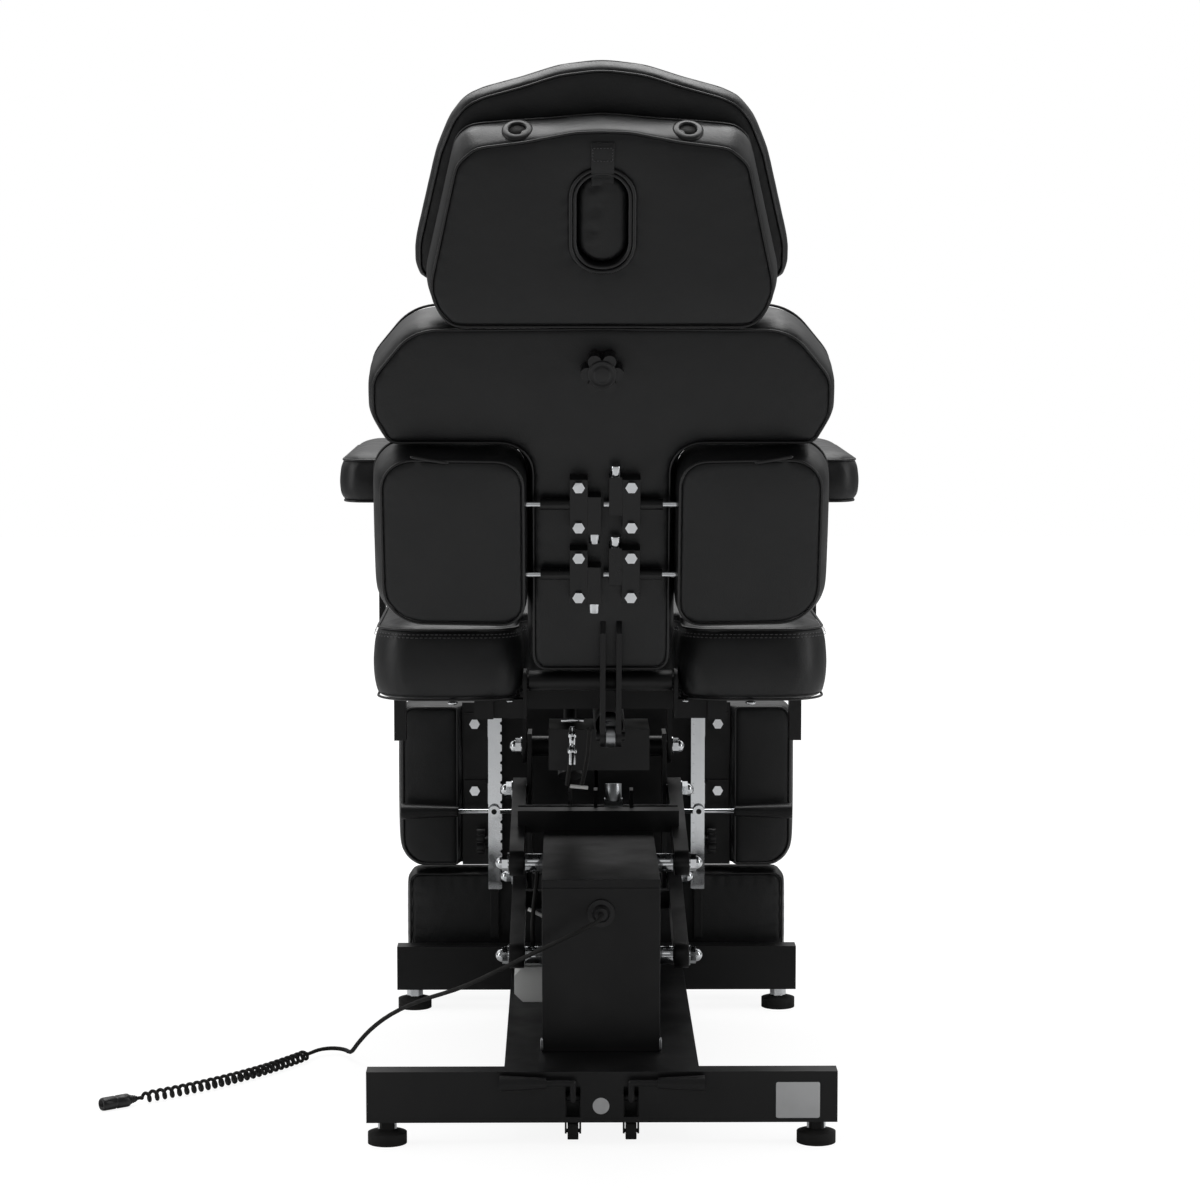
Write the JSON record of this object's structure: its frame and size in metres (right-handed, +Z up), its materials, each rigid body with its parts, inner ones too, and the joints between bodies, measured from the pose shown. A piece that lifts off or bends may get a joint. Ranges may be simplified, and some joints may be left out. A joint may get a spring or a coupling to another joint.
{
  "type": "tattoo chair",
  "caption": "Electric tattoo chair with a lifting base, T-shaped reclining backrest, face cushion, side pads, armrests and split leg rests.",
  "frame": {"origin": "on the floor under the middle of the chair without its cord", "axes": "+Z up, +Y the way the sitter faces, +X the sitter's right"},
  "size_m": [1.0174, 1.0059, 1.366],
  "materials": {
    "frame_black": "satin black powder coat",
    "dark_steel": "black enamel",
    "chrome": "bright chrome plate",
    "steel": "zinc plate",
    "leather": "black soft-grain imitation leather",
    "rubber": "matt black rubber",
    "black_plastic": "black moulded plastic",
    "grey_plastic": "light grey moulded plastic",
    "light_tube": "light grey anodised"
  },
  "bodies": {
    "base": {"rear_beam": "frame_black", "front_beam": "frame_black", "base_channel": "frame_black", "column_box": "frame_black", "column_lid": "frame_black", "cable_gland": "black_plastic", "control_housing": "grey_plastic", "column_shafts": "chrome", "cord_lead": "rubber", "cord_curls": "rubber", "cord_plug": "rubber"},
    "lower_arms": {"lower_arms": "frame_black"},
    "upper_arms": {"upper_arms": "frame_black"},
    "carriage": {"carriage_frame": "frame_black", "carriage_pins": "chrome", "tilt_motor": "dark_steel"},
    "lift_motor": {"lift_motor": "light_tube"},
    "lift_motor_rod": {"lift_motor_rod": "light_tube"},
    "seat": {"seat_frame": "frame_black", "seat_cushion": "leather", "back_motor": "black_plastic", "armrest_bracket_left": "dark_steel", "armrest_bracket_right": "dark_steel"},
    "tilt_motor_rod": {"tilt_motor_rod": "steel"},
    "backrest": {"backrest_cushion": "leather", "backrest_bracket": "frame_black", "clamp_blocks": "dark_steel", "clamp_bolts": "chrome"},
    "back_motor_rod": {"back_motor_rod": "steel"},
    "headrest": {"headrest_bar": "dark_steel", "face_cushion": "leather", "arch_pad": "leather"},
    "headrest_knob": {"headrest_knob": "black_plastic"},
    "face_plug": {"face_plug": "leather"},
    "side_pad_left": {"side_pad_left": "leather", "side_rods_left": "chrome"},
    "armrest_left": {"armrest_pad_left": "leather"},
    "leg_left": {"leg_frame_left": "chrome", "leg_cushion_left": "leather"},
    "release_lever_left": {"release_lever_left": "black_plastic"},
    "leg_knob_left": {"leg_knob_left": "black_plastic"},
    "foot_left": {"foot_bar_left": "frame_black", "foot_pad_left": "leather"},
    "rear_pedal_left": {"rear_pedal_left": "black_plastic"},
    "wheel_left": {"transport_wheel_left": "rubber"},
    "levelling_foot_rear_left": {"levelling_foot_rear_left": "rubber"},
    "levelling_foot_front_left": {"levelling_foot_front_left": "rubber"},
    "side_pad_right": {"side_pad_right": "leather", "side_rods_right": "chrome"},
    "armrest_right": {"armrest_pad_right": "leather"},
    "leg_right": {"leg_frame_right": "chrome", "leg_cushion_right": "leather"},
    "release_lever_right": {"release_lever_right": "black_plastic"},
    "leg_knob_right": {"leg_knob_right": "black_plastic"},
    "foot_right": {"foot_bar_right": "frame_black", "foot_pad_right": "leather"},
    "rear_pedal_right": {"rear_pedal_right": "black_plastic"},
    "wheel_right": {"transport_wheel_right": "rubber"},
    "levelling_foot_rear_right": {"levelling_foot_rear_right": "rubber"},
    "levelling_foot_front_right": {"levelling_foot_front_right": "rubber"}
  },
  "joints": [
    {"name": "lift", "type": "hinge", "parent": "base", "child": "lower_arms", "pos_m": [0, -0.0174, 0.162], "axis": [1, 0, 0], "range_deg": [0, 45.5]},
    {"name": "upper_arm_swing", "type": "hinge", "parent": "base", "child": "upper_arms", "pos_m": [0, -0.0174, 0.292], "axis": [1, 0, 0], "range_deg": [0, 45.5]},
    {"name": "carriage_level", "type": "hinge", "parent": "lower_arms", "child": "carriage", "pos_m": [0, 0.31284, 0.21194], "axis": [1, 0, 0], "range_deg": [-45.5, 0]},
    {"name": "lift_motor_swing", "type": "hinge", "parent": "base", "child": "lift_motor", "pos_m": [0.022, 0.1236, 0.128], "axis": [1, 0, 0], "range_deg": [0, 17.4]},
    {"name": "lift_motor_stroke", "type": "slide", "parent": "lift_motor", "child": "lift_motor_rod", "axis": [0, 0.1116, 0.9937], "range_m": [0, 0.1114]},
    {"name": "seat_tilt", "type": "hinge", "parent": "carriage", "child": "seat", "pos_m": [0, 0.31284, 0.407], "axis": [1, 0, 0], "range_deg": [0, 12]},
    {"name": "tilt_rod_swing", "type": "hinge", "parent": "seat", "child": "tilt_motor_rod", "pos_m": [-0.04, 0.1826, 0.506], "axis": [1, 0, 0], "range_deg": [-12, 0]},
    {"name": "recline", "type": "hinge", "parent": "seat", "child": "backrest", "pos_m": [0, -0.2054, 0.57], "axis": [1, 0, 0], "range_deg": [-6, 66]},
    {"name": "back_rod_swing", "type": "hinge", "parent": "backrest", "child": "back_motor_rod", "pos_m": [0.013, -0.2454, 0.50072], "axis": [1, 0, 0], "range_deg": [-66, 6]},
    {"name": "headrest_slide", "type": "slide", "parent": "backrest", "child": "headrest", "axis": [0, -0.309, 0.9511], "range_m": [0, 0.08]},
    {"name": "headrest_knob_turn", "type": "hinge", "parent": "backrest", "child": "headrest_knob", "pos_m": [0, -0.40291, 0.98371], "axis": [0, -0.9511, -0.309], "range_deg": [-180, 180]},
    {"name": "face_plug_pull", "type": "slide", "parent": "headrest", "child": "face_plug", "axis": [0, -0.9511, -0.309], "range_m": [0, 0.09]},
    {"name": "side_pad_left_slide", "type": "slide", "parent": "backrest", "child": "side_pad_left", "axis": [-1, 0, 0], "range_m": [0, 0.04]},
    {"name": "armrest_left_swivel", "type": "hinge", "parent": "seat", "child": "armrest_left", "pos_m": [-0.308, 0.1826, 0.8], "axis": [0, 0, -1], "range_deg": [0, 90]},
    {"name": "leg_left_raise", "type": "hinge", "parent": "seat", "child": "leg_left", "pos_m": [-0.154, 0.4006, 0.5], "axis": [1, 0, 0], "range_deg": [0, 85]},
    {"name": "release_lever_left_lift", "type": "hinge", "parent": "leg_left", "child": "release_lever_left", "pos_m": [-0.154, 0.3946, 0.296], "axis": [0, 1, 0], "range_deg": [0, 12], "stiffness_Nm_per_rad": 1, "springref_deg": -8.59},
    {"name": "leg_knob_left_turn", "type": "hinge", "parent": "leg_left", "child": "leg_knob_left", "pos_m": [-0.175, 0.4096, 0.248], "axis": [1, 0, 0], "range_deg": [-180, 180]},
    {"name": "foot_left_extend", "type": "slide", "parent": "leg_left", "child": "foot_left", "axis": [0, 0, -1], "range_m": [0, 0.12]},
    {"name": "rear_pedal_left_press", "type": "hinge", "parent": "base", "child": "rear_pedal_left", "pos_m": [-0.037, -0.4024, 0.058], "axis": [1, 0, 0], "range_deg": [0, 11]},
    {"name": "wheel_left_roll", "type": "hinge", "parent": "rear_pedal_left", "child": "wheel_left", "pos_m": [-0.037, -0.4104, 0.017], "axis": [1, 0, 0], "continuous": true},
    {"name": "levelling_foot_rear_left_turn", "type": "hinge", "parent": "base", "child": "levelling_foot_rear_left", "pos_m": [-0.274, -0.4024, 0.02], "axis": [0, 0, 1], "continuous": true},
    {"name": "levelling_foot_front_left_turn", "type": "hinge", "parent": "base", "child": "levelling_foot_front_left", "pos_m": [-0.274, 0.3806, 0.02], "axis": [0, 0, 1], "continuous": true},
    {"name": "side_pad_right_slide", "type": "slide", "parent": "backrest", "child": "side_pad_right", "axis": [1, 0, 0], "range_m": [0, 0.04]},
    {"name": "armrest_right_swivel", "type": "hinge", "parent": "seat", "child": "armrest_right", "pos_m": [0.308, 0.1826, 0.8], "axis": [0, 0, 1], "range_deg": [0, 90]},
    {"name": "leg_right_raise", "type": "hinge", "parent": "seat", "child": "leg_right", "pos_m": [0.154, 0.4006, 0.5], "axis": [1, 0, 0], "range_deg": [0, 85]},
    {"name": "release_lever_right_lift", "type": "hinge", "parent": "leg_right", "child": "release_lever_right", "pos_m": [0.154, 0.3946, 0.296], "axis": [0, -1, 0], "range_deg": [0, 12], "stiffness_Nm_per_rad": 1, "springref_deg": -8.59},
    {"name": "leg_knob_right_turn", "type": "hinge", "parent": "leg_right", "child": "leg_knob_right", "pos_m": [0.175, 0.4096, 0.248], "axis": [1, 0, 0], "range_deg": [-180, 180]},
    {"name": "foot_right_extend", "type": "slide", "parent": "leg_right", "child": "foot_right", "axis": [0, 0, -1], "range_m": [0, 0.12]},
    {"name": "rear_pedal_right_press", "type": "hinge", "parent": "base", "child": "rear_pedal_right", "pos_m": [0.037, -0.4024, 0.058], "axis": [1, 0, 0], "range_deg": [0, 11]},
    {"name": "wheel_right_roll", "type": "hinge", "parent": "rear_pedal_right", "child": "wheel_right", "pos_m": [0.037, -0.4104, 0.017], "axis": [1, 0, 0], "continuous": true},
    {"name": "levelling_foot_rear_right_turn", "type": "hinge", "parent": "base", "child": "levelling_foot_rear_right", "pos_m": [0.274, -0.4024, 0.02], "axis": [0, 0, 1], "continuous": true},
    {"name": "levelling_foot_front_right_turn", "type": "hinge", "parent": "base", "child": "levelling_foot_front_right", "pos_m": [0.274, 0.3806, 0.02], "axis": [0, 0, 1], "continuous": true}
  ],
  "couplings": [
    {"joint": "upper_arm_swing", "follows": "lift", "ratio": 1},
    {"joint": "carriage_level", "follows": "lift", "ratio": -1},
    {"joint": "lift_motor_swing", "follows": "lift", "ratio": 0.376},
    {"joint": "lift_motor_stroke", "follows": "lift", "m_per_rad": 0.1397},
    {"joint": "tilt_rod_swing", "follows": "seat_tilt", "ratio": -1},
    {"joint": "back_rod_swing", "follows": "recline", "ratio": -1}
  ]
}
